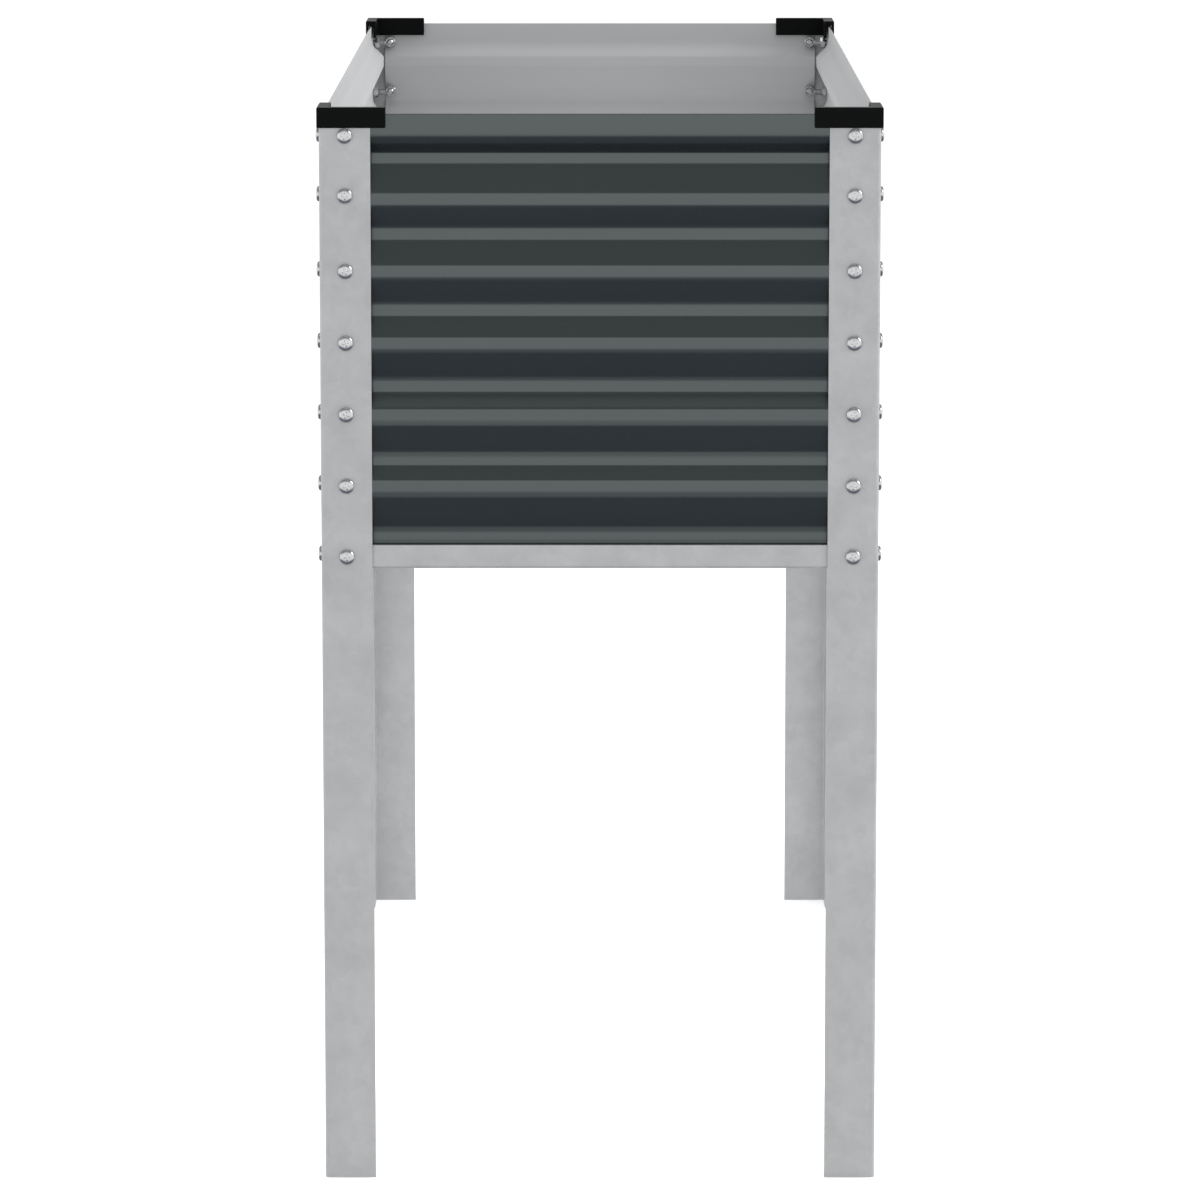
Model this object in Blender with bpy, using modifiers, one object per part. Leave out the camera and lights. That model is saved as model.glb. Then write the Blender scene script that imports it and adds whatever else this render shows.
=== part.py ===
"""Raised garden planter: a corrugated steel trough carried on four folded angle legs.

The long side runs along Y, the short side along X, and the planter stands on z = 0.
Each wall is one corrugated sheet bolted through both flanges of the legs at its ends.
Angle rails close the foot of each wall and carry a floor of channel slats, and a
moulded L-shaped cap covers the raw edges at each corner.
"""
import math

import bmesh
import bpy
from mathutils import Matrix, Vector

# Overall sizes, in metres
LENGTH = 1.000            # over the outer faces of the legs, along Y
WIDTH = 0.400             # over the outer faces of the legs, along X
HEIGHT = 0.780            # from the ground to the top of the corner caps
FIT_GAP = 0.0003          # left between two pieces that touch

# Legs: equal angles folded from sheet
LEG_FLANGE = 0.0367
LEG_SHEET = 0.0020
LEG_BEND_RADIUS = 0.0030  # outside of the fold

# Bolts and nuts
BOLT_DIAMETER = 0.0050
BOLT_LENGTH = 0.0150      # under the head
BOLT_HEAD_DIAMETER = 0.0110
BOLT_HEAD_HEIGHT = 0.0026
BOLT_TIP_CHAMFER = 0.0006
BOLT_HOLE_CLEARANCE = 0.0004
HOLE_EDGE_DISTANCE = 0.0048  # bolt axis from the end of a wall sheet
NUT_ACROSS_FLATS = 0.0080
NUT_HEIGHT = 0.0040

# Wall sheets
PANEL_SHEET = 0.0010
PANEL_TOP_DROP = 0.0046   # top edge below the top of the caps
CORRUGATION_DEPTH = 0.0095
TOP_LAND_HEIGHT = 0.0186  # flat strip along the top edge
LAND_HEIGHT = 0.0082      # flat of each crest and each valley
CREST_COUNT = 5
FIRST_CREST_DROP = 0.0654   # first crest below the top of the caps
CREST_PITCH = 0.0515
FIRST_VALLEY_RISE = 0.0288  # first valley above the first crest
VALLEY_DRIFT = 0.0033       # each later valley sits this much lower against its crest
EASE_SHARE = 0.16         # share of a falling flank that eases into each land
EASE_SLOPE = 0.45         # slope there, against the slope of the plain flank
BEND_RADIUS = 0.0040
TOP_BEND_RADIUS = 0.0100
BEND_STEPS = 2
PANEL_CORNER_CLEARANCE = 0.0008  # between two sheets where their ends pass each other
PANEL_FOOT_CLEARANCE = 0.0006    # between a sheet's lower edge and the floor

# Foot rails
RAIL_HEIGHT = 0.0174
RAIL_DEPTH = 0.0174
RAIL_SHEET = 0.0015
RAIL_BEND_RADIUS = 0.0020
RAIL_LAP = 0.0007         # the rails' upper edge above the lower edge of the last valley

# Floor slats: shallow channels laid across the side rails, open side up
SLAT_COUNT = 10
SLAT_GAP = 0.0030
SLAT_SHEET = 0.0010
SLAT_FLANGE = 0.0080
SLAT_BEND_RADIUS = 0.0015
SLAT_END_CLEARANCE = 0.0006
SLAT_SIDE_CLEARANCE = 0.0010
DRAIN_DIAMETER = 0.0080
DRAIN_COUNT = 3

# Corner caps
CAP_ARM = 0.0490
CAP_HEIGHT = 0.0146
CAP_TOP = 0.0035
CAP_OUTER_WALL = 0.0012
CAP_INNER_WALL = 0.0020
CAP_SLOT_SLACK = 0.0018   # room in the slot behind the wall sheet
CAP_EDGE_ROUND = 0.0005

HOLE_SIDES = 10
SHANK_STEPS = 12
FOLD_STEPS = 3

# What follows from the sizes above
LAYER = LEG_SHEET + FIT_GAP                      # outer face of a wall sheet, in from the leg's face
CRESTS = [HEIGHT - FIRST_CREST_DROP - row * CREST_PITCH for row in range(CREST_COUNT)]
FIRST_VALLEY = CRESTS[0] + FIRST_VALLEY_RISE
VALLEYS = [FIRST_VALLEY - row * (CREST_PITCH + VALLEY_DRIFT) for row in range(CREST_COUNT + 1)]
RAIL_TOP = VALLEYS[-1] - LAND_HEIGHT / 2.0 + RAIL_LAP
RAIL_BOTTOM = RAIL_TOP - RAIL_HEIGHT
SLAT_BOTTOM = RAIL_BOTTOM + RAIL_SHEET + FIT_GAP  # underside of the slats where they rest
PANEL_TOP = HEIGHT - PANEL_TOP_DROP
PANEL_BOTTOM = SLAT_BOTTOM + SLAT_SHEET + PANEL_FOOT_CLEARANCE
PANEL_END_INSET = LAYER + CORRUGATION_DEPTH + PANEL_SHEET + PANEL_CORNER_CLEARANCE
BOLT_EDGE_INSET = PANEL_END_INSET + HOLE_EDGE_DISTANCE  # bolt axis from the outer corner of the leg
RAIL_LAYER = RAIL_SHEET + FIT_GAP                # how far the foot of a sheet steps in behind its rail
LEG_TOP = HEIGHT - CAP_TOP - FIT_GAP
HOLE_DIAMETER = BOLT_DIAMETER + 2.0 * BOLT_HOLE_CLEARANCE
CAP_SLOT = FIT_GAP + LAYER + PANEL_SHEET + CAP_SLOT_SLACK
CAP_REACH = CAP_OUTER_WALL + FIT_GAP             # outer face of a cap beyond the leg's face
CAP_ARM_WIDTH = CAP_OUTER_WALL + CAP_SLOT + CAP_INNER_WALL

TOP_BOLT_HEIGHT = HEIGHT - CAP_HEIGHT - FIT_GAP - BOLT_HEAD_DIAMETER / 2.0
BOTTOM_BOLT_HEIGHT = RAIL_BOTTOM + RAIL_HEIGHT / 2.0
BOLT_HEIGHTS = [TOP_BOLT_HEIGHT] + CRESTS + [BOTTOM_BOLT_HEIGHT]

# The walls in turn round the planter: name, kind, turn about Z, half span, distance from the centre
WALLS = [
    ("front", "end", 0, WIDTH / 2.0, LENGTH / 2.0),
    ("right", "side", 90, LENGTH / 2.0, WIDTH / 2.0),
    ("back", "end", 180, WIDTH / 2.0, LENGTH / 2.0),
    ("left", "side", 270, LENGTH / 2.0, WIDTH / 2.0),
]
# The corner at the left-hand end of each wall, as it is seen from outside
CORNERS = ["front_left", "front_right", "back_right", "back_left"]


def clear_scene():
    for old in list(bpy.data.objects):
        bpy.data.objects.remove(old, do_unlink=True)


def new_collection(name):
    collection = bpy.data.collections.new(name)
    bpy.context.scene.collection.children.link(collection)
    return collection


def new_material(name, colour, roughness, metallic):
    material = bpy.data.materials.new(name)
    material.use_nodes = True
    shader = material.node_tree.nodes["Principled BSDF"]
    shader.inputs["Base Color"].default_value = (*colour, 1.0)
    shader.inputs["Roughness"].default_value = roughness
    shader.inputs["Metallic"].default_value = metallic
    material.diffuse_color = (*colour, 1.0)
    return material


def add_object(name, mesh, collection, matrix=None):
    placed = bpy.data.objects.new(name, mesh)
    if matrix is not None:
        placed.matrix_world = matrix
    collection.objects.link(placed)
    return placed


def baked_mesh(shape, name):
    """The mesh of an object or a curve as its modifiers leave it; the object is then removed."""
    bpy.context.view_layer.update()
    evaluated = shape.evaluated_get(bpy.context.evaluated_depsgraph_get())
    mesh = bpy.data.meshes.new_from_object(evaluated)
    mesh.name = name
    bpy.data.objects.remove(shape, do_unlink=True)
    return mesh


def smooth_mesh(mesh):
    mesh.shade_smooth()
    mesh.set_sharp_from_angle(angle=math.radians(35.0))


def outline_solid(name, outlines, height):
    """A flat outline in the XY plane, with any hole in it, given a height from z = 0 up."""
    curve = bpy.data.curves.new(name, "CURVE")
    curve.dimensions = "2D"
    curve.fill_mode = "BOTH"
    curve.extrude = height / 2.0
    for points in outlines:
        spline = curve.splines.new("POLY")
        spline.points.add(len(points) - 1)
        for slot, (x, y) in zip(spline.points, points):
            slot.co = (x, y, 0.0, 1.0)
        spline.use_cyclic_u = True
    mesh = baked_mesh(add_object(name, curve, bpy.context.scene.collection), name)
    mesh.transform(Matrix.Translation((0.0, 0.0, height / 2.0)))
    work = bmesh.new()
    work.from_mesh(mesh)
    bmesh.ops.remove_doubles(work, verts=work.verts, dist=0.000001)
    bmesh.ops.recalc_face_normals(work, faces=work.faces)
    work.to_mesh(mesh)
    work.free()
    return mesh


def section_solid(name, outline, length):
    """A section given as (inward, up) points, run along X and centred on it."""
    mesh = outline_solid(name, [outline], length)
    run_along_x = Matrix(((0, 0, 1, -length / 2.0), (1, 0, 0, 0), (0, 1, 0, 0), (0, 0, 0, 1)))
    mesh.transform(run_along_x)
    return mesh


def arc(centre, radius, start, end, steps):
    """Points on an arc between two angles in degrees."""
    angles = [math.radians(start + (end - start) * step / steps) for step in range(steps + 1)]
    return [(centre[0] + radius * math.cos(a), centre[1] + radius * math.sin(a)) for a in angles]


def angle_outline(first, second, sheet, bend):
    """An L section with its corner at the origin: one flange along +X, the other along +Y."""
    inner = bend - sheet if bend > sheet else 0.0
    points = [(first, 0.0), (first, sheet)]
    if inner > 0.0:
        points += arc((bend, bend), inner, 270.0, 180.0, FOLD_STEPS)
    else:
        points += [(sheet, sheet)]
    points += [(sheet, second), (0.0, second)]
    points += arc((bend, bend), bend, 180.0, 270.0, FOLD_STEPS)
    return points


def cylinder_mesh(radius, length, sides, centre, direction):
    """A closed cylinder on a given centre, along a given direction."""
    work = bmesh.new()
    turn = Vector(direction).to_track_quat("Z", "Y").to_matrix().to_4x4()
    bmesh.ops.create_cone(
        work,
        cap_ends=True,
        segments=sides,
        radius1=radius,
        radius2=radius,
        depth=length,
        matrix=Matrix.Translation(centre) @ turn,
    )
    return work


def add_cutter(name, cylinders, cutters):
    """One cutter object from a list of (centre, direction, diameter, length)."""
    joined = bmesh.new()
    for centre, direction, diameter, length in cylinders:
        single = cylinder_mesh(diameter / 2.0, length, HOLE_SIDES, centre, direction)
        step = bpy.data.meshes.new("hole")
        single.to_mesh(step)
        single.free()
        joined.from_mesh(step)
        bpy.data.meshes.remove(step)
    mesh = bpy.data.meshes.new(name)
    joined.to_mesh(mesh)
    joined.free()
    cutter = add_object(name, mesh, cutters)
    cutter.hide_render = True
    cutter.display_type = "WIRE"
    return cutter


def add_box_cutter(name, corner, opposite, cutters):
    """A box cutter between two opposite corners."""
    middle = [(a + b) / 2.0 for a, b in zip(corner, opposite)]
    size = [abs(a - b) for a, b in zip(corner, opposite)]
    work = bmesh.new()
    bmesh.ops.create_cube(work, size=1.0, matrix=Matrix.Translation(middle) @ Matrix.Diagonal((*size, 1.0)))
    mesh = bpy.data.meshes.new(name)
    work.to_mesh(mesh)
    work.free()
    cutter = add_object(name, mesh, cutters)
    cutter.hide_render = True
    cutter.display_type = "WIRE"
    return cutter


def cut(shape, cutter):
    boolean = shape.modifiers.new("cut", "BOOLEAN")
    boolean.operation = "DIFFERENCE"
    boolean.solver = "EXACT"
    boolean.object = cutter


def leg_mesh(cutters):
    """A leg with its outer corner on the Z axis and a row of holes in each flange."""
    outline = angle_outline(LEG_FLANGE, LEG_FLANGE, LEG_SHEET, LEG_BEND_RADIUS)
    blank = add_object("leg", outline_solid("leg", [outline], LEG_TOP), bpy.context.scene.collection)
    reach = 3.0 * LEG_SHEET
    holes = []
    for height in BOLT_HEIGHTS:
        holes.append(((BOLT_EDGE_INSET, LEG_SHEET / 2.0, height), (0, 1, 0), HOLE_DIAMETER, reach))
        holes.append(((LEG_SHEET / 2.0, BOLT_EDGE_INSET, height), (1, 0, 0), HOLE_DIAMETER, reach))
    cut(blank, add_cutter("leg_holes", holes, cutters))
    return baked_mesh(blank, "leg")


def flank_ease(top, bottom):
    """The two points where a falling flank, from crest to valley, eases into its lands."""
    ease_height = EASE_SHARE * (top[0] - bottom[0])
    ease_depth = EASE_SHARE * EASE_SLOPE * (bottom[1] - top[1])
    return [
        (top[0] - ease_height, top[1] + ease_depth),
        (bottom[0] + ease_height, bottom[1] - ease_depth),
    ]


def sheet_profile():
    """The outer face of a wall sheet as (height, depth) points from its top edge down."""
    half = LAND_HEIGHT / 2.0
    points = [(PANEL_TOP, 0.0), (PANEL_TOP - TOP_LAND_HEIGHT, 0.0)]
    for row, valley in enumerate(VALLEYS):
        if row > 0:
            points += flank_ease(points[-1], (valley + half, CORRUGATION_DEPTH))
        points += [(valley + half, CORRUGATION_DEPTH), (valley - half, CORRUGATION_DEPTH)]
        if row < CREST_COUNT:
            points += [(CRESTS[row] + half, 0.0), (CRESTS[row] - half, 0.0)]
    step_in = CORRUGATION_DEPTH - RAIL_LAYER
    foot_top = max(VALLEYS[-1] - half - step_in / 2.0, BOTTOM_BOLT_HEIGHT + NUT_ACROSS_FLATS / 2.0)
    points += [(foot_top, RAIL_LAYER), (PANEL_BOTTOM, RAIL_LAYER)]
    return points


def rounded(points, radius_at, steps):
    """The same line with each corner between two stretches replaced by an arc."""
    smooth = [Vector(points[0])]
    for index in range(1, len(points) - 1):
        before, corner, after = (Vector(points[index + shift]) for shift in (-1, 0, 1))
        back = (before - corner).normalized()
        ahead = (after - corner).normalized()
        bend = math.pi - back.angle(ahead)
        if bend < 0.001:
            smooth.append(corner)
            continue
        room = 0.45 * min((before - corner).length, (after - corner).length)
        tangent = min(radius_at(index) * math.tan(bend / 2.0), room)
        radius = tangent / math.tan(bend / 2.0)
        middle = corner + (back + ahead).normalized() * radius / math.cos(bend / 2.0)
        start = corner + back * tangent - middle
        turn = start.angle_signed(corner + ahead * tangent - middle)
        for step in range(steps + 1):
            # angle_signed counts clockwise, Matrix.Rotation counter-clockwise
            spin = Matrix.Rotation(-turn * step / steps, 2)
            smooth.append(middle + spin @ start)
    smooth.append(Vector(points[-1]))
    return smooth


def wall_profile():
    return rounded(sheet_profile(), lambda index: TOP_BEND_RADIUS if index == 1 else BEND_RADIUS, BEND_STEPS)


def inner_depth_at(profile, height):
    """Depth of a sheet's inner face at a height, measured in from the crest plane."""
    for above, below in zip(profile, profile[1:]):
        if below[0] <= height <= above[0]:
            rise = above[0] - below[0]
            slope = (below[1] - above[1]) / rise
            outer = above[1] + slope * (above[0] - height)
            return outer + PANEL_SHEET * math.hypot(1.0, slope)
    return PANEL_SHEET


def nut_seat(profile, height):
    """Where the near face of a nut can sit, measured in from the outer face of the leg."""
    edges = [height - NUT_ACROSS_FLATS / 2.0, height + NUT_ACROSS_FLATS / 2.0]
    return LAYER + max(inner_depth_at(profile, edge) for edge in edges) + FIT_GAP


def wall_sheet_mesh(name, half_span, cutters):
    """A corrugated sheet along X: its crests lie in the plane y = 0 and its valleys at +Y."""
    half_length = half_span - PANEL_END_INSET
    work = bmesh.new()
    verts = [work.verts.new((-half_length, depth, height)) for height, depth in wall_profile()]
    edges = [work.edges.new(pair) for pair in zip(verts, verts[1:])]
    swept = bmesh.ops.extrude_edge_only(work, edges=edges)["geom"]
    far_end = [item for item in swept if isinstance(item, bmesh.types.BMVert)]
    bmesh.ops.translate(work, verts=far_end, vec=(2.0 * half_length, 0.0, 0.0))
    work.faces.ensure_lookup_table()
    work.normal_update()
    if work.faces[0].normal.y > 0.0:
        bmesh.ops.reverse_faces(work, faces=work.faces)
    mesh = bpy.data.meshes.new(name)
    work.to_mesh(mesh)
    work.free()
    blank = add_object(name, mesh, bpy.context.scene.collection)
    solidify = blank.modifiers.new("sheet", "SOLIDIFY")
    solidify.thickness = PANEL_SHEET
    solidify.offset = -1.0
    solidify.use_even_offset = True
    reach = 4.0 * (CORRUGATION_DEPTH + PANEL_SHEET)
    places = [(side * (half_span - BOLT_EDGE_INSET), 0.0, height) for height in BOLT_HEIGHTS for side in (-1, 1)]
    holes = [(place, (0, 1, 0), HOLE_DIAMETER, reach) for place in places]
    cut(blank, add_cutter(name + "_holes", holes, cutters))
    return baked_mesh(blank, name)


def rail_mesh(name, half_span, coped, cutters):
    """An angle along X: one flange up at y = 0, the other inward along its foot.

    The foot of a coped rail stops short of the rails that cross its ends.
    """
    half_length = half_span - PANEL_END_INSET
    outline = angle_outline(RAIL_DEPTH, RAIL_HEIGHT, RAIL_SHEET, RAIL_BEND_RADIUS)
    outline = [(inward, up + RAIL_BOTTOM) for inward, up in outline]
    blank = add_object(name, section_solid(name, outline, 2.0 * half_length), bpy.context.scene.collection)
    places = [(side * (half_span - BOLT_EDGE_INSET), RAIL_SHEET / 2.0, BOTTOM_BOLT_HEIGHT) for side in (-1, 1)]
    holes = [(place, (0, 1, 0), HOLE_DIAMETER, 3.0 * RAIL_SHEET) for place in places]
    cut(blank, add_cutter(name + "_holes", holes, cutters))
    if coped:
        foot_end = half_span - LAYER - RAIL_DEPTH - 2.0 * FIT_GAP
        for side in (-1, 1):
            near = (side * foot_end, RAIL_BEND_RADIUS + FIT_GAP, RAIL_BOTTOM - RAIL_SHEET)
            far = (side * half_span, 2.0 * RAIL_DEPTH, RAIL_BOTTOM + 2.0 * RAIL_SHEET)
            cut(blank, add_box_cutter("%s_cope_%+d" % (name, side), near, far, cutters))
    return baked_mesh(blank, name)


def slat_mesh(cutters):
    """A floor slat across X, centred on the origin in plan, with its two folded flanges up."""
    span = slat_pitch() - SLAT_GAP
    half = span / 2.0
    base = SLAT_BOTTOM
    crown = base + SLAT_FLANGE
    bend = SLAT_BEND_RADIUS
    inner = bend - SLAT_SHEET
    outline = [(-half, crown)]
    outline += arc((bend - half, base + bend), bend, 180.0, 270.0, FOLD_STEPS)
    outline += arc((half - bend, base + bend), bend, 270.0, 360.0, FOLD_STEPS)
    outline += [(half, crown), (half - SLAT_SHEET, crown)]
    outline += arc((half - bend, base + bend), inner, 360.0, 270.0, FOLD_STEPS)
    outline += arc((bend - half, base + bend), inner, 270.0, 180.0, FOLD_STEPS)
    outline += [(SLAT_SHEET - half, crown)]
    half_length = WIDTH / 2.0 - LAYER - RAIL_SHEET - SLAT_END_CLEARANCE
    blank = add_object("slat", section_solid("slat", outline, 2.0 * half_length), bpy.context.scene.collection)
    flange_end = WIDTH / 2.0 - LAYER - RAIL_DEPTH - SLAT_SIDE_CLEARANCE
    for side in (-1, 1):
        near = (side * flange_end, -span, base + SLAT_SHEET)
        far = (side * WIDTH, span, crown + SLAT_SHEET)
        cut(blank, add_box_cutter("slat_end_%+d" % side, near, far, cutters))
    drain_pitch = 2.0 * flange_end / (DRAIN_COUNT + 1)
    places = [((index + 1) * drain_pitch - flange_end, 0.0, SLAT_BOTTOM) for index in range(DRAIN_COUNT)]
    holes = [(place, (0, 0, 1), DRAIN_DIAMETER, 6.0 * SLAT_SHEET) for place in places]
    cut(blank, add_cutter("slat_drains", holes, cutters))
    return baked_mesh(blank, "slat")


def slat_pitch():
    run = LENGTH - 2.0 * (LAYER + RAIL_DEPTH + SLAT_SIDE_CLEARANCE)
    return (run + SLAT_GAP) / SLAT_COUNT


def cap_mesh(cutters):
    """A corner cap over a leg whose outer corner is on the Z axis: an upturned trough, L in plan."""
    base = HEIGHT - CAP_HEIGHT
    arm = CAP_ARM - CAP_REACH
    shape = l_outline(-CAP_REACH, CAP_ARM_WIDTH, arm)
    mesh = outline_solid("cap", [shape], CAP_HEIGHT)
    mesh.transform(Matrix.Translation((0.0, 0.0, base)))
    blank = add_object("cap", mesh, bpy.context.scene.collection)
    bevel = blank.modifiers.new("edges", "BEVEL")
    bevel.width = CAP_EDGE_ROUND
    bevel.segments = 1
    bevel.limit_method = "ANGLE"
    slot = l_outline(-FIT_GAP, CAP_SLOT, 2.0 * CAP_ARM)
    slot_mesh = outline_solid("cap_slot", [slot], 2.0 * (CAP_HEIGHT - CAP_TOP))
    slot_mesh.transform(Matrix.Translation((0.0, 0.0, base - (CAP_HEIGHT - CAP_TOP))))
    cutter = add_object("cap_slot", slot_mesh, cutters)
    cutter.hide_render = True
    cutter.display_type = "WIRE"
    cut(blank, cutter)
    return baked_mesh(blank, "cap")


def l_outline(start, width, reach):
    """An L of two equal arms along +X and +Y, whose outer corner is at (start, start)."""
    inner = start + width
    return [(start, start), (reach, start), (reach, inner), (inner, inner), (inner, reach), (start, reach)]


def bolt_mesh():
    """A pan-head bolt along Y: the seat of its head at y = 0, the shank towards +Y."""
    head = BOLT_HEAD_DIAMETER / 2.0
    shank = BOLT_DIAMETER / 2.0
    dome = [(head * math.sin(a), BOLT_HEAD_HEIGHT * math.cos(a)) for a in (0.0, 0.62, 1.1, 1.42)]
    profile = dome + [(head, 0.0), (shank, 0.0), (shank, BOLT_TIP_CHAMFER - BOLT_LENGTH)]
    profile += [(shank - BOLT_TIP_CHAMFER, -BOLT_LENGTH), (0.0, -BOLT_LENGTH)]
    work = bmesh.new()
    verts = [work.verts.new((radius, 0.0, height)) for radius, height in profile]
    for pair in zip(verts, verts[1:]):
        work.edges.new(pair)
    mesh = bpy.data.meshes.new("bolt")
    work.to_mesh(mesh)
    work.free()
    blank = add_object("bolt", mesh, bpy.context.scene.collection)
    screw = blank.modifiers.new("turned", "SCREW")
    screw.steps = SHANK_STEPS
    screw.render_steps = SHANK_STEPS
    screw.use_merge_vertices = True
    screw.merge_threshold = 0.00001
    turned = baked_mesh(blank, "bolt")
    turned.transform(Matrix.Rotation(math.radians(90.0), 4, "X"))
    smooth_mesh(turned)
    return turned


def nut_mesh():
    """A hexagon nut along Y: its near face at y = 0, two of its flats up and down."""
    corner = NUT_ACROSS_FLATS / math.sqrt(3.0)
    hexagon = arc((0.0, 0.0), corner, 0.0, 300.0, 5)
    bore = arc((0.0, 0.0), BOLT_DIAMETER / 2.0 + FIT_GAP, 0.0, 330.0, 11)
    mesh = outline_solid("nut", [hexagon, bore], NUT_HEIGHT)
    mesh.transform(Matrix.Rotation(math.radians(-90.0), 4, "X"))
    return mesh


def wall_matrix(turn, distance, inward):
    """From a wall's own axes (along X, inward +Y) to the planter's."""
    return Matrix.Rotation(math.radians(turn), 4, "Z") @ Matrix.Translation((0.0, inward - distance, 0.0))


def corner_matrix(index):
    """From a leg's own axes (corner on Z, flanges along +X and +Y) to its place."""
    half_x, half_y = WIDTH / 2.0, LENGTH / 2.0
    place = [(-half_x, -half_y), (half_x, -half_y), (half_x, half_y), (-half_x, half_y)][index]
    return Matrix.Translation((*place, 0.0)) @ Matrix.Rotation(math.radians(90.0 * index), 4, "Z")


def add_part(name, mesh, material, collection, matrix):
    part = add_object(name, mesh, collection, matrix)
    if not mesh.materials:
        mesh.materials.append(material)
    return part


def add_legs_and_caps(parts, cutters, steel, plastic):
    leg = leg_mesh(cutters)
    cap = cap_mesh(cutters)
    for index, corner in enumerate(CORNERS):
        add_part("leg_" + corner, leg, steel, parts, corner_matrix(index))
        add_part("corner_cap_" + corner, cap, plastic, parts, corner_matrix(index))


def add_walls(parts, cutters, steel, paint):
    sheets = {}
    rails = {}
    for name, kind, turn, half_span, distance in WALLS:
        if kind not in sheets:
            sheets[kind] = wall_sheet_mesh(kind + "_panel", half_span, cutters)
            rails[kind] = rail_mesh(kind + "_rail", half_span, kind == "end", cutters)
        place = wall_matrix(turn, distance, LAYER)
        add_part("%s_panel_%s" % (kind, name), sheets[kind], paint, parts, place)
        add_part("%s_rail_%s" % (kind, name), rails[kind], steel, parts, place)


def add_floor(parts, cutters, steel):
    slat = slat_mesh(cutters)
    for index in range(SLAT_COUNT):
        offset = (index - (SLAT_COUNT - 1) / 2.0) * slat_pitch()
        add_part("floor_slat_%02d" % (index + 1), slat, steel, parts, Matrix.Translation((0.0, offset, 0.0)))


def add_fasteners(parts, zinc):
    """The top and the bottom bolt of every row, each with its nut."""
    bolt = bolt_mesh()
    nut = nut_mesh()
    profile = wall_profile()
    for index, (_, kind, turn, half_span, distance) in enumerate(WALLS):
        for side, corner in ((-1, CORNERS[index]), (1, CORNERS[(index + 1) % 4])):
            for level, height in (("top", BOLT_HEIGHTS[0]), ("bottom", BOLT_HEIGHTS[-1])):
                row = Matrix.Translation((side * (half_span - BOLT_EDGE_INSET), 0.0, height))
                label = "%s_%s_%s" % (level, corner, kind)
                add_part("bolt_" + label, bolt, zinc, parts, wall_matrix(turn, distance, -FIT_GAP) @ row)
                seat = nut_seat(profile, height)
                add_part("nut_" + label, nut, zinc, parts, wall_matrix(turn, distance, seat) @ row)


def main():
    clear_scene()
    parts = new_collection("raised_planter")
    cutters = new_collection("cutters")
    steel = new_material("galvanised_steel", (0.45, 0.46, 0.47), 0.45, 0.9)
    paint = new_material("anthracite_paint", (0.035, 0.043, 0.048), 0.40, 0.0)
    plastic = new_material("black_plastic", (0.008, 0.009, 0.010), 0.50, 0.0)
    zinc = new_material("zinc_plated_steel", (0.62, 0.63, 0.64), 0.28, 1.0)
    add_legs_and_caps(parts, cutters, steel, plastic)
    add_walls(parts, cutters, steel, paint)
    add_floor(parts, cutters, steel)
    add_fasteners(parts, zinc)


main()
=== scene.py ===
"""Looks of the raised planter: finished metal, bolts and nuts, corner caps, studio and camera."""
import math

import bmesh
import bpy
from mathutils import Matrix, Vector


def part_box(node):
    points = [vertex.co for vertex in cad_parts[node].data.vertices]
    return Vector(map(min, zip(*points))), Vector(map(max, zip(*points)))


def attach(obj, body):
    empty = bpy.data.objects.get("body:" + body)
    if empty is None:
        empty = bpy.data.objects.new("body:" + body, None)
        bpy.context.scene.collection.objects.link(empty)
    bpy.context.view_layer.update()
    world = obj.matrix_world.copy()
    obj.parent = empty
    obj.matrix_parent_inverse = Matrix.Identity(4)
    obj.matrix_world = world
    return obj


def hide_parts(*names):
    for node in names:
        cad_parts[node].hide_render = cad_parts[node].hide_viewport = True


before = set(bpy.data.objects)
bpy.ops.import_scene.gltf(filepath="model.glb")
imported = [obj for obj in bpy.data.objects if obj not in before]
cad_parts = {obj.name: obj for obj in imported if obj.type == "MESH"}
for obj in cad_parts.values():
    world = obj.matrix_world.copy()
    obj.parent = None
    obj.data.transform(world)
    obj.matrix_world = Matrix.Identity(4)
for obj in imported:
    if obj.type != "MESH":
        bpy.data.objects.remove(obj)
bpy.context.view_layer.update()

# ---- Sizes, in metres, that the frame's boxes don't give ----
FIRST_CREST_DROP = 0.0608  # the first crest, below the top edge of the sheet
CREST_PITCH = 0.0515
CREST_COUNT = 5
VALLEY_PITCH = 0.0548
FIRST_VALLEY_RISE = 0.0288  # the first valley, above the first crest
TOP_LAND_HEIGHT = 0.0186
LAND_HEIGHT = 0.0082
FALL_EASE = 0.16  # share of a falling face that is eased at each end
FALL_EASE_SLOPE = 0.45  # slope of the eased part against an even slope
LOW_VALLEY_CUT = 0.0022  # the valley above the lowest crest has a shorter land
LOW_VALLEY_DEPTH = 0.74  # and this share of the full depth
FOLD_SOFTNESS = 0.012
TOP_FOLD_SOFTNESS = 0.80
SHEET = 0.0010
ROW_STEP = 0.0004
LEG_SHEET = 0.0020
RAIL_SHEET = 0.0015
FIT_GAP = 0.0003

FIRST_BOLT_RISE = 0.0024
BOLT_DIAMETER = 0.0050
HEAD_DIAMETER = 0.0110
HEAD_HEIGHT = 0.0026
HEAD_EDGE = 0.0007  # straight side of the head
HEAD_EDGE_CHAMFER = 0.0002
HEAD_FULLNESS = 0.55  # under 1 makes the dome flatter on top and rounder at its side
HEAD_RINGS = 8
THREAD_PITCH = 0.0008
THREAD_DEPTH = 0.00040
THREAD_LENGTH = 0.0112
TIP_CHAMFER = 0.0006
RECESS_REACH = 0.0028
RECESS_WIDTH = 0.0013
RECESS_DEPTH = 0.0017
RECESS_TAPER = 0.62
NUT_FLATS = 0.0080
NUT_CHAMFER = 0.0005
TURN_STEPS = 24
BOLT_SPIN = 0.35  # radians either way
NUT_SPIN = 0.5

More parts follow.
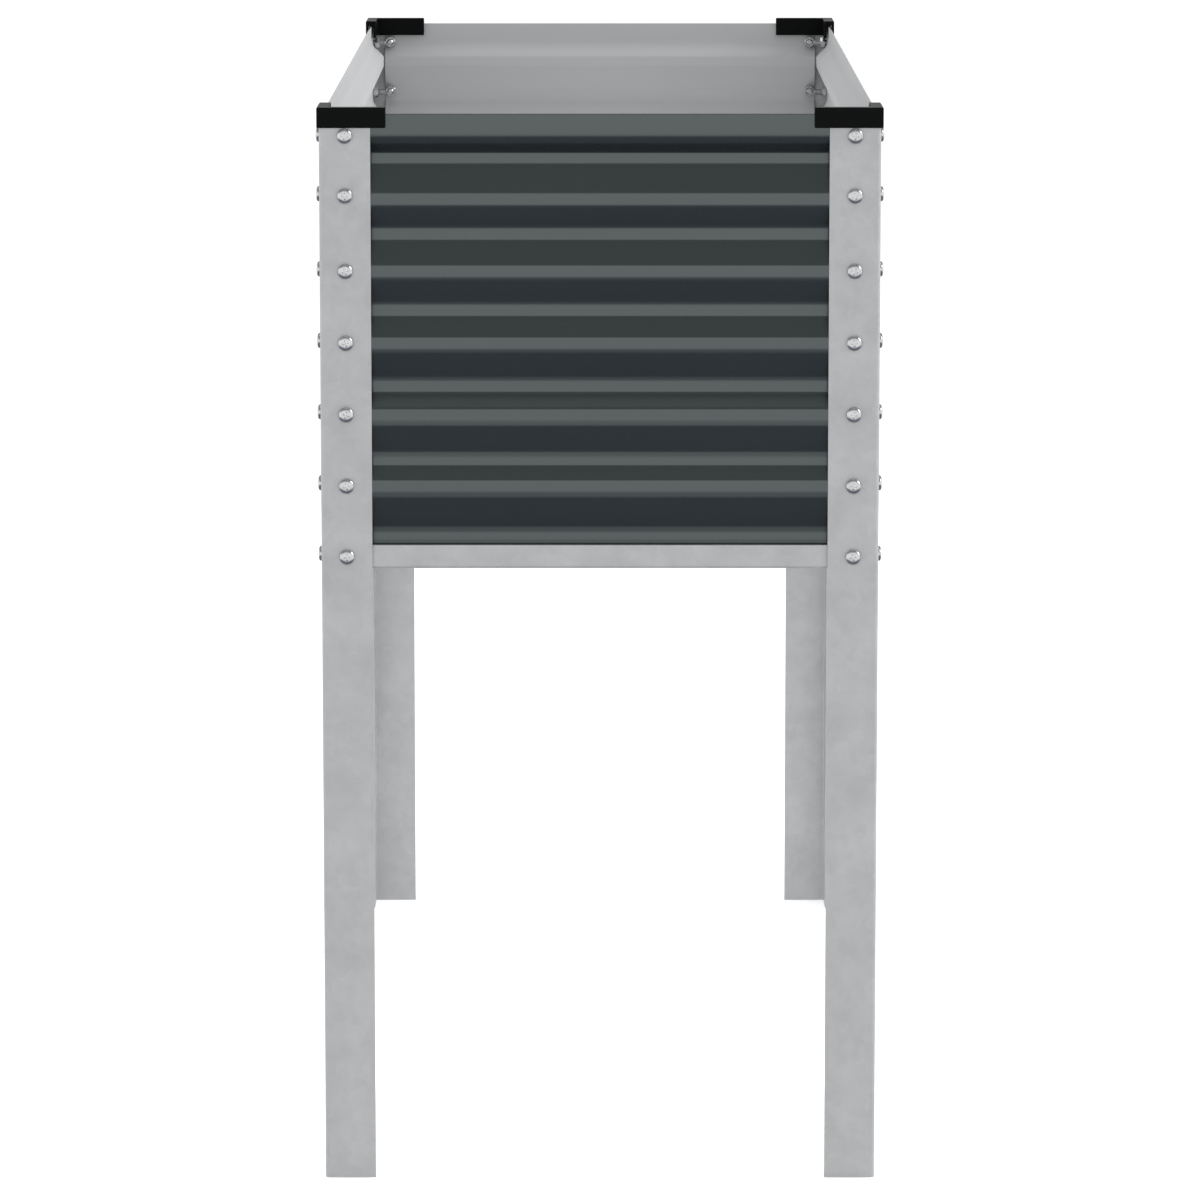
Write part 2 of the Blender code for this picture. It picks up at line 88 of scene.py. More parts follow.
SHEET_EDGE = 0.00045
# eased edges of legs and rails, wide enough that their near-black faces show as a line of painted shade
METAL_EDGE = 0.00045
CAP_EDGE = 0.00025
SLAT_EDGE = 0.00015

CORNERS = ["front_left", "front_right", "back_right", "back_left"]
WALLS = [("front", "end"), ("right", "side"), ("back", "end"), ("left", "side")]
INWARD = {"front": (0, 1, 0), "right": (-1, 0, 0), "back": (0, -1, 0), "left": (1, 0, 0)}

# What reflections see around the planter: degrees above the horizon, and colour
REFLECTED_ZONES = [
    (-90, (0.165, 0.178, 0.212)),
    (-30, (0.165, 0.178, 0.212)),
    (-14, (1.01, 1.01, 1.01)),
    (12, (1.01, 1.01, 1.01)),
    (30, (0.30, 0.318, 0.318)),
    (66, (0.31, 0.328, 0.328)),
    (77, (0.36, 0.38, 0.38)),
    (87, (1.4, 1.4, 1.4)),
]
DAYLIGHT = (0.88, 0.89, 0.90, 1.0)
WHITE = (1.0, 1.0, 1.0, 1.0)
WORLD_STRENGTH = 1.12
SOFTBOX_TOWARD = (0.80, -0.24, 0.55)
SOFTBOX_LEVEL = 5.5

# Name, place, target, size and watts of each area light
LIGHTS = [
    ("key", (2.96, 0.68, 2.13), (0.0, 0.0, 0.60), (1.2, 1.2), 96.0),
    ("left_fill", (-2.96, 0.68, 2.13), (0.0, 0.0, 0.60), (1.6, 1.6), 42.0),
    ("inner_fill", (0.0, 0.0, 0.47), (0.0, 0.0, 1.0), (0.28, 0.85), 1.7),
    ("leg_fill", (0.0, -0.25, 0.25), (0.0, 0.5, 0.25), (0.30, 0.40), 1.4),
]
CAMERA_LENS = 187.9
CAMERA_PLACE = (0.0, -4.946, 1.1259)
CAMERA_PITCH = 8.945


# ---- Small helpers ----
def add_object(name, data):
    made = bpy.data.objects.new(name, data)
    bpy.context.scene.collection.objects.link(made)
    return made


def plain_mesh(shape, name):
    """The mesh that an object's modifiers leave; the object is then removed."""
    bpy.context.view_layer.update()
    evaluated = shape.evaluated_get(bpy.context.evaluated_depsgraph_get())
    mesh = bpy.data.meshes.new_from_object(evaluated)
    mesh.name = name
    bpy.data.objects.remove(shape, do_unlink=True)
    return mesh


def mesh_from(work, name):
    mesh = bpy.data.meshes.new(name)
    work.to_mesh(mesh)
    work.free()
    return mesh


def paint_slots(mesh, materials):
    mesh.materials.clear()
    for material in materials:
        mesh.materials.append(material)


def finish_piece(piece, nodes):
    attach(piece, "root")
    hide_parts(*nodes)


def nodes_named(start):
    return sorted(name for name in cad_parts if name.startswith(start))


def middle_of(node):
    low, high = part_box(node)
    return (low + high) / 2.0


# ---- Node trees ----
class Tree:
    """A node tree that is being built: each call adds one node and gives back its output."""

    def __init__(self, tree):
        self.tree = tree

    def add(self, kind, inputs=None, output=0, **settings):
        made = self.tree.nodes.new(kind)
        for key, value in settings.items():
            setattr(made, key, value)
        for key, value in (inputs or {}).items():
            self.feed(made.inputs[key], value)
        return made.outputs[output]

    def feed(self, socket, value):
        if isinstance(value, bpy.types.NodeSocket):
            self.tree.links.new(value, socket)
        else:
            socket.default_value = value

    def math(self, operation, first, second=0.0):
        return self.add("ShaderNodeMath", {0: first, 1: second}, operation=operation)

    def ramp(self, value, stops):
        out = self.add("ShaderNodeValToRGB", {"Fac": value})
        ramp = out.node.color_ramp
        while len(ramp.elements) < len(stops):
            ramp.elements.new(0.5)
        for element, (place, colour) in zip(ramp.elements, stops):
            element.position = place
            element.color = (*colour, 1.0)
        return out

    def mix(self, factor, first, second, blend="MIX"):
        out = self.add("ShaderNodeMix", {0: factor}, output=2, data_type="RGBA", blend_type=blend)
        self.feed(out.node.inputs[6], first)
        self.feed(out.node.inputs[7], second)
        return out


def named_group(name, kind, entries, exits):
    """A node group with named sockets; its tree holds them as entry and exit."""
    group = bpy.data.node_groups.new(name, kind)
    for label, socket_kind in exits:
        group.interface.new_socket(label, in_out="OUTPUT", socket_type="NodeSocket" + socket_kind)
    for label, socket_kind, value in entries:
        socket = group.interface.new_socket(label, in_out="INPUT", socket_type="NodeSocket" + socket_kind)
        if value is not None:
            socket.default_value = value
    tree = Tree(group)
    tree.entry = group.nodes.new("NodeGroupInput").outputs
    tree.exit = group.nodes.new("NodeGroupOutput").inputs
    return tree


def geometry_tree(name, sizes):
    """A geometry tree whose named inputs are these sizes."""
    entries = [("Geometry", "Geometry", None)] + sizes
    return named_group(name, "GeometryNodeTree", entries, [("Geometry", "Geometry")])


def run_tree(shape, tree, values):
    """Puts a geometry tree on an object with these values for its named inputs."""
    modifier = shape.modifiers.new(tree.tree.name, "NODES")
    modifier.node_group = tree.tree
    for item in tree.tree.interface.items_tree:
        if item.item_type == "SOCKET" and item.in_out == "INPUT" and item.name in values:
            modifier[item.identifier] = values[item.name]


# ---- Wall sheets ----
def corrugation_tree():
    """A sheet's outer face, in its wall's own axes: along X, depth +Y inward, height Z.

    Depth runs from crest to valley by where a height lies between the two rows of folds. The rows
    drift against each other, so the lowest valley above a crest is made shorter and shallower.
    """
    tree = geometry_tree("corrugated_sheet", [
        ("Length", "Float", 1.0), ("Top", "Float", 0.78), ("Bottom", "Float", 0.45),
        ("Depth", "Float", 0.01), ("First Crest", "Float", 0.7), ("Crest Pitch", "Float", 0.05),
        ("First Valley", "Float", 0.74), ("Valley Pitch", "Float", 0.05),
        ("Land", "Float", 0.008), ("Top Land", "Float", 0.02),
        ("Last Valley", "Float", 0.47), ("Foot Step", "Float", 0.002), ("Rows", "Int", 600),
        ("Low Valley", "Int", 4), ("Low Valley Cut", "Float", 0.0), ("Low Valley Depth", "Float", 1.0),
        ("Fold Softness", "Float", 0.01), ("Top Softness", "Float", 0.8), ("Fold Passes", "Int", 140),
        ("Material", "Material", None),
    ])
    size = tree.entry
    rise = tree.math("SUBTRACT", size["Top"], size["Bottom"])
    grid = tree.add("GeometryNodeMeshGrid", {
        "Size X": size["Length"], "Size Y": rise, "Vertices X": 3, "Vertices Y": size["Rows"],
    })
    place = tree.add("GeometryNodeInputPosition")
    split = tree.add("ShaderNodeSeparateXYZ", {0: place}).node.outputs
    middle = tree.math("DIVIDE", tree.math("ADD", size["Top"], size["Bottom"]), 2.0)
    height = tree.math("ADD", split[1], middle)

    half_land = tree.math("DIVIDE", size["Land"], 2.0)
    drop = tree.math("SUBTRACT", size["First Crest"], height)
    row = tree.math("MAXIMUM", tree.math("FLOOR", tree.math("DIVIDE", drop, size["Crest Pitch"])), -1.0)
    upper = tree.math("SUBTRACT", size["First Crest"], tree.math("MULTIPLY", row, size["Crest Pitch"]))
    lower = tree.math("SUBTRACT", upper, size["Crest Pitch"])
    strip = tree.math("ADD", tree.math("SUBTRACT", size["Top"], size["Top Land"]), half_land)
    upper = tree.math("MINIMUM", upper, strip)
    next_row = tree.math("ADD", row, 1.0)
    drift = tree.math("MULTIPLY", next_row, size["Valley Pitch"])
    valley = tree.math("SUBTRACT", size["First Valley"], drift)
    falling = tree.math("GREATER_THAN", height, valley)

    away = tree.math("ABSOLUTE", tree.math("SUBTRACT", next_row, size["Low Valley"]))
    low_valley = tree.math("LESS_THAN", away, 0.5)
    cut = tree.math("MULTIPLY", low_valley, size["Low Valley Cut"])
    cut_half = tree.math("SUBTRACT", half_land, cut)

    def share(crest, sign, valley_half):
        """How far a height is from a crest's land to the valley's land, from 0 to 1."""
        gone = tree.math("MULTIPLY", tree.math("SUBTRACT", crest, height), sign)
        run = tree.math("MULTIPLY", tree.math("SUBTRACT", crest, valley), sign)
        gone = tree.math("SUBTRACT", gone, half_land)
        run = tree.math("SUBTRACT", tree.math("SUBTRACT", run, half_land), valley_half)
        ratio = tree.math("DIVIDE", gone, run)
        ratio.node.use_clamp = True
        return ratio

    eased = tree.add("ShaderNodeFloatCurve", {"Value": share(upper, 1.0, half_land)})
    curve = eased.node.mapping.curves[0]
    eased_drop = FALL_EASE * FALL_EASE_SLOPE
    curve.points.new(FALL_EASE, eased_drop)
    curve.points.new(1.0 - FALL_EASE, 1.0 - eased_drop)
    for point in curve.points:
        point.handle_type = "VECTOR"
    eased.node.mapping.update()
    plain = share(lower, -1.0, cut_half)
    ratio = tree.add("GeometryNodeSwitch", {0: falling, 1: plain, 2: eased}, input_type="FLOAT")
    lost = tree.math("MULTIPLY", low_valley, tree.math("SUBTRACT", 1.0, size["Low Valley Depth"]))
    deepest = tree.math("MULTIPLY", size["Depth"], tree.math("SUBTRACT", 1.0, lost))
    depth = tree.math("MULTIPLY", ratio, deepest)
    foot = tree.math("MULTIPLY", tree.math("LESS_THAN", height, size["Last Valley"]), size["Foot Step"])
    depth = tree.math("MAXIMUM", depth, foot)

    near_top = tree.math("GREATER_THAN", height, tree.math("ADD", size["First Valley"], half_land))
    added = tree.math("MULTIPLY", near_top, size["Top Softness"])
    weight = tree.math("ADD", added, size["Fold Softness"])
    soft = tree.add("GeometryNodeBlurAttribute", {
        "Value": depth, "Iterations": size["Fold Passes"], "Weight": weight,
    }, data_type="FLOAT")
    moved = tree.add("ShaderNodeCombineXYZ", {0: split[0], 1: soft, 2: height})
    shaped = tree.add("GeometryNodeSetPosition", {"Geometry": grid, "Position": moved})
    smooth = tree.add("GeometryNodeSetShadeSmooth", {0: shaped})
    coated = tree.add("GeometryNodeSetMaterial", {"Geometry": smooth, "Material": size["Material"]})
    tree.feed(tree.exit[0], coated)
    return tree


def wall_turn(wall):
    """The turn from a wall's own axes, where inward is +Y, to the planter's."""
    inward = Vector(INWARD[wall])
    return Matrix.Rotation(math.atan2(-inward.x, inward.y), 4, "Z")


def add_wall_sheet(tree, wall, kind, outside, inside):
    node = "%s_panel_%s" % (kind, wall)
    turn = wall_turn(wall)
    low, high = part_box(node)
    corners = [turn.inverted() @ corner for corner in (low, high)]
    length = abs(corners[1].x - corners[0].x)
    outer = min(corner.y for corner in corners)
    first_crest = high.z - FIRST_CREST_DROP
    first_valley = first_crest + FIRST_VALLEY_RISE
    shape = add_object(node, bpy.data.meshes.new(node))
    run_tree(shape, tree, {
        "Length": length,
        "Top": high.z,
        "Bottom": low.z,
        "Depth": abs(corners[1].y - corners[0].y) - SHEET,
        "First Crest": first_crest,
        "Crest Pitch": CREST_PITCH,
        "First Valley": first_valley,
        "Valley Pitch": VALLEY_PITCH,
        "Land": LAND_HEIGHT,
        "Top Land": TOP_LAND_HEIGHT,
        "Last Valley": first_valley - CREST_COUNT * VALLEY_PITCH,
        "Foot Step": RAIL_SHEET + FIT_GAP,
        "Low Valley": CREST_COUNT - 1,
        "Low Valley Cut": LOW_VALLEY_CUT,
        "Low Valley Depth": LOW_VALLEY_DEPTH,
        "Fold Softness": FOLD_SOFTNESS,
        "Top Softness": TOP_FOLD_SOFTNESS,
        "Rows": int((high.z - low.z) / ROW_STEP),
        "Material": outside,
    })
    face = plain_mesh(shape, node)
    paint_slots(face, [outside, inside])
    face.polygons.foreach_set("material_index", [0] * len(face.polygons))
    shape = add_object(node, face)
    thick = shape.modifiers.new("thickness", "SOLIDIFY")
    thick.thickness = SHEET
    thick.offset = -1.0
    thick.use_even_offset = True
    thick.material_offset = 1
    rim = shape.modifiers.new("eased_rim", "BEVEL")
    rim.width = SHEET_EDGE
    rim.segments = 2
    rim.limit_method = "ANGLE"
    rim.angle_limit = math.radians(60.0)
    mesh = plain_mesh(shape, node)
    mesh.transform(turn @ Matrix.Translation((0.0, outer, 0.0)))
    mesh.set_sharp_from_angle(angle=math.radians(15.0))
    finish_piece(add_object(wall + "_sheet", mesh), [node])


# ---- Pieces finished from their CAD solids ----
def eased_copy(node, name, edge, materials):
    """A CAD node's solid, merged, its folds shaded smooth and its sharp edges eased.

    The eased edges take the last of the materials; on legs and rails that is a near-black edge material,
    painted shade for the contact shadow along their edges, in part the darker raw cut edge.
    """
    work = bmesh.new()
    work.from_mesh(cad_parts[node].data)
    bmesh.ops.remove_doubles(work, verts=work.verts, dist=0.000002)
    bmesh.ops.dissolve_limit(work, angle_limit=math.radians(0.5), verts=work.verts, edges=work.edges)
    mesh = mesh_from(work, name)
    mesh.shade_smooth()
    paint_slots(mesh, materials)
    shape = add_object(name, mesh)
    bevel = shape.modifiers.new("eased_edges", "BEVEL")
    bevel.width = edge
    bevel.segments = 2
    bevel.limit_method = "ANGLE"
    bevel.angle_limit = math.radians(40.0)
    bevel.use_clamp_overlap = True
    bevel.material = len(materials) - 1
    flats = shape.modifiers.new("flat_faces_stay_flat", "WEIGHTED_NORMAL")
    flats.mode = "FACE_AREA"
    flats.weight = 50
    flats.keep_sharp = False
    return plain_mesh(shape, name)


def add_eased(node, name, edge, slot, materials):
    piece = add_object(name, eased_copy(node, name, edge, materials))
    finish_piece(piece, [node])


# ---- Copies placed at points ----
def placing_tree():
    """Copies of one template at a mesh's points, its +Z turned to each point's own direction."""
    tree = geometry_tree("placed_copies", [
        ("Template", "Object", None), ("Spin", "Float", 0.0), ("Seed", "Int", 1),
        ("Material", "Material", None),
    ])
    size = tree.entry
    template = tree.add("GeometryNodeObjectInfo", {"Object": size["Template"]}).node.outputs["Geometry"]
    aim = tree.add("GeometryNodeInputNamedAttribute", {"Name": "aim"}, data_type="FLOAT_VECTOR")
    turned = tree.add("FunctionNodeAlignRotationToVector", {"Vector": aim}, axis="Z")
    low = tree.math("MULTIPLY", size["Spin"], -1.0)
    chance = tree.add("FunctionNodeRandomValue", {"Seed": size["Seed"]}, output=1, data_type="FLOAT")
    tree.feed(chance.node.inputs[2], low)
    tree.feed(chance.node.inputs[3], size["Spin"])
    spin = tree.add("FunctionNodeAxisAngleToRotation", {"Axis": (0, 0, 1), "Angle": chance})
    rotation = tree.add("FunctionNodeRotateRotation", {0: turned, 1: spin}, rotation_space="LOCAL")
    copies = tree.add("GeometryNodeInstanceOnPoints", {
        "Points": size["Geometry"], "Instance": template, "Rotation": rotation,
    })
    real = tree.add("GeometryNodeRealizeInstances", {0: copies})
    coated = tree.add("GeometryNodeSetMaterial", {"Geometry": real, "Material": size["Material"]})
    tree.feed(tree.exit[0], coated)
    return tree


def add_copies(tree, name, template, places, aims, spin, material):
    mesh = bpy.data.meshes.new(name)
    mesh.from_pydata([tuple(place) for place in places], [], [])
    attribute = mesh.attributes.new("aim", "FLOAT_VECTOR", "POINT")
    for slot, aim in zip(attribute.data, aims):
        slot.vector = aim
    shape = add_object(name + "_places", mesh)
    run_tree(shape, tree, {"Template": template, "Spin": spin, "Seed": 7, "Material": material})
    placed = plain_mesh(shape, name)
    bpy.data.objects.remove(template, do_unlink=True)
    placed.polygons.foreach_set("material_index", [0] * len(placed.polygons))
    paint_slots(placed, [material])
    return add_object(name, placed)


# ---- Fasteners ----
def turned_mesh(name, profile, steps):
    """A closed turned body: (radius, height) points from the top of the axis down to its foot."""
    work = bmesh.new()
    verts = [work.verts.new((radius, 0.0, height)) for radius, height in profile]
    for pair in zip(verts, verts[1:]):
        work.edges.new(pair)
    shape = add_object(name, mesh_from(work, name))
    screw = shape.modifiers.new("turned", "SCREW")
    screw.steps = steps
    screw.render_steps = steps
    screw.use_merge_vertices = True
    screw.merge_threshold = 0.00001
    mesh = plain_mesh(shape, name)
    work = bmesh.new()
    work.from_mesh(mesh)
    bmesh.ops.remove_doubles(work, verts=work.verts, dist=0.00001)
    bmesh.ops.recalc_face_normals(work, faces=work.faces)
    work.to_mesh(mesh)
    work.free()
    return mesh


def joined_or_cut(name, mesh, other, operation):
    """One solid from two closed meshes."""
    shape = add_object(name, mesh)
    tool = add_object(name + "_tool", other)
    boolean = shape.modifiers.new(operation.lower(), "BOOLEAN")
    boolean.operation = operation
    boolean.object = tool
    boolean.solver = "EXACT"
    result = plain_mesh(shape, name)
    bpy.data.objects.remove(tool, do_unlink=True)
    return result


def box_work(size, centre):
    work = bmesh.new()
    bmesh.ops.create_cube(work, size=1.0, matrix=Matrix.Translation(centre) @ Matrix.Diagonal((*size, 1.0)))
    return work


def bolt_template(length):
    """A pan-head bolt: its head's seat at z = 0, the shank up to +Z and the head below."""
    radius = HEAD_DIAMETER / 2.0
    shank = BOLT_DIAMETER / 2.0
    root = shank - THREAD_DEPTH
    profile = [(0.0, length), (root - TIP_CHAMFER / 2.0, length), (shank, length - TIP_CHAMFER)]
    height = length - TIP_CHAMFER
    while height > length - THREAD_LENGTH:
        profile += [(shank, height - 0.15 * THREAD_PITCH), (root, height - 0.5 * THREAD_PITCH)]
        profile += [(shank, height - 0.85 * THREAD_PITCH)]
        height -= THREAD_PITCH
    profile += [(shank, 0.0), (radius - HEAD_EDGE_CHAMFER, 0.0)]
    profile += [(radius, -HEAD_EDGE_CHAMFER), (radius, -HEAD_EDGE)]
    for step in range(1, HEAD_RINGS):
        angle = math.radians(90.0 * step / HEAD_RINGS)
        rise = (HEAD_HEIGHT - HEAD_EDGE) * math.sin(angle)
        profile.append((radius * math.cos(angle) ** HEAD_FULLNESS, -HEAD_EDGE - rise))
    profile.append((0.0, -HEAD_HEIGHT))
    body = turned_mesh("bolt", profile, TURN_STEPS)
    reach, depth = 2 * RECESS_REACH, 2 * RECESS_DEPTH
    for size in ((reach, RECESS_WIDTH, depth), (RECESS_WIDTH, reach, depth)):
        work = box_work(size, (0.0, 0.0, -HEAD_HEIGHT))
        floor = [vert for vert in work.verts if vert.co.z > -HEAD_HEIGHT]
        bmesh.ops.scale(work, vec=(RECESS_TAPER, RECESS_TAPER, 1.0), verts=floor)
        body = joined_or_cut("bolt", body, mesh_from(work, "recess"), "DIFFERENCE")
    body.shade_smooth()
    body.set_sharp_from_angle(angle=math.radians(40.0))
    return add_object("bolt_template", body)


def nut_template(height):
    """A hexagon nut with chamfered corners, its seat at z = 0 and its bore along Z."""
    corner = NUT_FLATS / math.sqrt(3.0)
    barrel_radius = corner + 0.0001
    face = NUT_FLATS / 2.0 * 0.99
    bore = BOLT_DIAMETER / 2.0 + FIT_GAP / 2.0
    barrel = turned_mesh("nut", [
        (0.0, height), (face, height), (barrel_radius, height - NUT_CHAMFER),
        (barrel_radius, NUT_CHAMFER), (face, 0.0), (0.0, 0.0),
    ], 48)
    hexagon = bmesh.new()
    bmesh.ops.create_cone(
        hexagon, cap_ends=True, segments=6, radius1=corner, radius2=corner, depth=2 * height)
    body = joined_or_cut("nut", barrel, mesh_from(hexagon, "hexagon"), "INTERSECT")
    hole = turned_mesh("hole", [
        (0.0, height + 0.001), (bore + 0.0005, height + 0.0001), (bore, height - 0.0004),
        (bore, 0.0004), (bore + 0.0005, -0.0001), (0.0, -0.001),
    ], 24)
    body = joined_or_cut("nut", body, hole, "DIFFERENCE")
    body.shade_smooth()
    body.set_sharp_from_angle(angle=math.radians(30.0))
    return add_object("nut_template", body)


def fastener_rows():
    """For each leg flange: its inward direction, and the boxes of its end bolts and end nuts."""
    rows = []
    for index, (wall, kind) in enumerate(WALLS):
        inward = Vector(INWARD[wall])
        for corner in (CORNERS[index], CORNERS[(index + 1) % 4]):
            labels = ["%s_%s_%s" % (level, corner, kind) for level in ("top", "bottom")]
            boxes = [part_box(piece + label) for piece in ("bolt_", "nut_") for label in labels]
            rows.append((inward, *boxes))
    return rows


def along(box, inward, share):
    """A point on a box's axis along the inward direction: 0 at its outer end, 1 at its inner end."""
    low, high = box
    middle = (low + high) / 2.0
    half = abs((high - low).dot(inward)) / 2.0
    return middle + inward * half * (2.0 * share - 1.0)


def add_fasteners(tree, zinc):
    """All the bolts as one piece and all the nuts as another: top, crests, then bottom of each row."""
    rows = fastener_rows()
    inward, bolt_box, _, nut_box, _ = rows[0]
    overall = abs((bolt_box[1] - bolt_box[0]).dot(inward))
    nut_height = abs((nut_box[1] - nut_box[0]).dot(inward))
    head_share = HEAD_HEIGHT / overall
    first_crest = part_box("end_panel_front")[1].z - FIRST_CREST_DROP
    crests = [first_crest - row * CREST_PITCH for row in range(CREST_COUNT)]
    crests[0] += FIRST_BOLT_RISE
    crest_nut_seat = FIT_GAP + LEG_SHEET + FIT_GAP + SHEET + 2.0 * FIT_GAP
    bolts, nuts, aims = [], [], []
    for inward, top, bottom, nut_top, nut_bottom in rows:
        seat = along(top, inward, head_share)
        near = seat + inward * crest_nut_seat
        bolts.append(seat)
        nuts.append(along(nut_top, inward, 0.0))
        for height in crests:
            bolts.append(Vector((seat.x, seat.y, height)))
            nuts.append(Vector((near.x, near.y, height)))
        bolts.append(along(bottom, inward, head_share))
        nuts.append(along(nut_bottom, inward, 0.0))
        aims += [inward] * (CREST_COUNT + 2)
    template = bolt_template(overall - HEAD_HEIGHT)
    piece = add_copies(tree, "bolts", template, bolts, aims, BOLT_SPIN, zinc)
    finish_piece(piece, nodes_named("bolt_"))
    piece = add_copies(tree, "nuts", nut_template(nut_height), nuts, aims, NUT_SPIN, zinc)
    finish_piece(piece, nodes_named("nut_"))


def add_floor(tree, steel):
    slats = nodes_named("floor_slat_")
    body = eased_copy(slats[0], "slat_template", SLAT_EDGE, [steel])
    body.transform(Matrix.Translation(-middle_of(slats[0])))
    template = add_object("slat_template", body)
    places = [middle_of(name) for name in slats]
    piece = add_copies(tree, "floor_slats", template, places, [(0, 0, 1)] * len(places), 0.0, steel)
    finish_piece(piece, slats)


# ---- Materials ----
def grain_group():
    """Fine grain: a value, a roughness that follows it and a normal, at a place on the piece."""
    tree = named_group("surface_grain", "ShaderNodeTree", [
        ("Place", "Vector", None), ("Scale", "Float", 500.0), ("Detail", "Float", 2.0),
        ("Smoothest", "Float", 0.4), ("Roughest", "Float", 0.5),
        ("Bump", "Float", 0.0), ("Bump Height", "Float", 0.0001),
    ], [("Grain", "Float"), ("Roughness", "Float"), ("Normal", "Vector")])
    size = tree.entry
    grain = tree.add("ShaderNodeTexNoise", {
        "Vector": size["Place"], "Scale": size["Scale"], "Detail": size["Detail"],
    })
    rough = tree.add("ShaderNodeMapRange", {
        "Value": grain, "To Min": size["Smoothest"], "To Max": size["Roughest"],
    })
    bump = tree.add("ShaderNodeBump", {
        "Strength": size["Bump"], "Distance": size["Bump Height"], "Height": grain,
    })
    tree.feed(tree.exit["Grain"], grain)
    tree.feed(tree.exit["Roughness"], rough)
    tree.feed(tree.exit["Normal"], bump)
    return tree.tree


def grained(tree, group, scale, detail, rough=(0.4, 0.5), bump=(0.0, 0.0001)):
    """Puts the grain in a material's tree; gives the place on the piece and the grain's outlets."""
    place = tree.add("ShaderNodeTexCoord", output=3)
    node = tree.tree.nodes.new("ShaderNodeGroup")
    node.node_tree = group
    values = {
        "Place": place, "Scale": scale, "Detail": detail, "Smoothest": rough[0],
        "Roughest": rough[1], "Bump": bump[0], "Bump Height": bump[1],
    }
    for label, value in values.items():
        tree.feed(node.inputs[label], value)
    return place, node.outputs


def new_material(name, roughness, metallic=0.0, **sockets):
    """A Principled material with plain numbers on its sockets; gives it, its shader and its tree."""
    material = bpy.data.materials.new(name)
    material.use_nodes = True
    shader = material.node_tree.nodes["Principled BSDF"]
    shader.inputs["Roughness"].default_value = roughness
    shader.inputs["Metallic"].default_value = metallic
    for key, value in sockets.items():
        shader.inputs[key.replace("_", " ")].default_value = value
    return material, shader, Tree(material.node_tree)


def galvanised(group):
    """Zinc-coated sheet: soft clouds with faint crystal cells, a little rougher where it is lighter."""
    material, shader, tree = new_material("galvanised_steel", 0.46, 0.5)
    place, fine = grained(tree, group, 420.0, 3.0, bump=(0.05, 0.0004))
    warp = tree.add("ShaderNodeTexNoise", {"Vector": place, "Scale": 70.0, "Detail": 2.0}, output=1)
    bent = tree.add("ShaderNodeVectorMath", {0: warp, 1: (0.5, 0.5, 0.5)}, operation="SUBTRACT")
    bent = tree.add("ShaderNodeVectorMath", {0: bent, "Scale": 0.012}, operation="SCALE")
    bent = tree.add("ShaderNodeVectorMath", {0: place, 1: bent}, operation="ADD")
    cells = tree.add("ShaderNodeTexVoronoi", {"Vector": bent, "Scale": 150.0}, output=1)
    grey = tree.add("ShaderNodeRGBToBW", {0: cells})
    cloud = tree.add("ShaderNodeTexNoise", {
        "Vector": place, "Scale": 26.0, "Detail": 6.0, "Roughness": 0.65,
    })
    shade = tree.math("ADD", tree.math("MULTIPLY", grey, 0.14), tree.math("MULTIPLY", cloud, 0.86))
    colour = tree.ramp(shade, [(0.30, (0.395, 0.397, 0.401)), (0.70, (0.490, 0.493, 0.497))])
    rough = tree.add("ShaderNodeMapRange", {"Value": shade, "To Min": 0.44, "To Max": 0.54})
    tree.feed(shader.inputs["Base Color"], colour)
    tree.feed(shader.inputs["Roughness"], rough)
    tree.feed(shader.inputs["Normal"], fine["Normal"])
    return material


def sheet_paint(group, name, dark, light, rough, **sockets):
    material, shader, tree = new_material(name, sum(rough) / 2.0, **sockets)
    place, speck = grained(tree, group, 500.0, 2.0, rough, (0.003, 0.0001))
    cloud = tree.add("ShaderNodeTexNoise", {"Vector": place, "Scale": 6.0, "Detail": 4.0})
    tree.feed(shader.inputs["Base Color"], tree.mix(cloud, (*dark, 1.0), (*light, 1.0)))
    tree.feed(shader.inputs["Roughness"], speck["Roughness"])
    tree.feed(shader.inputs["Normal"], speck["Normal"])
    return material


def cap_plastic(group):
    material, shader, tree = new_material("cap_plastic", 0.42, Specular_IOR_Level=0.05)
    grain = grained(tree, group, 1400.0, 2.0, (0.38, 0.48), (0.08, 0.0002))[1]
    stops = [(0.3, (0.0024, 0.0026, 0.0028)), (0.7, (0.0034, 0.0037, 0.0040))]
    tree.feed(shader.inputs["Base Color"], tree.ramp(grain["Grain"], stops))
    tree.feed(shader.inputs["Roughness"], grain["Roughness"])
    tree.feed(shader.inputs["Normal"], grain["Normal"])
    return material


def zinc_plate(group):
    material, shader, tree = new_material("zinc_plate", 0.17, 1.0)
    cloud = grained(tree, group, 300.0, 3.0, (0.14, 0.21))[1]
    stops = [(0.3, (0.52, 0.525, 0.53)), (0.7, (0.64, 0.645, 0.65))]
    tree.feed(shader.inputs["Base Color"], tree.ramp(cloud["Grain"], stops))
    tree.feed(shader.inputs["Roughness"], cloud["Roughness"])
    return material


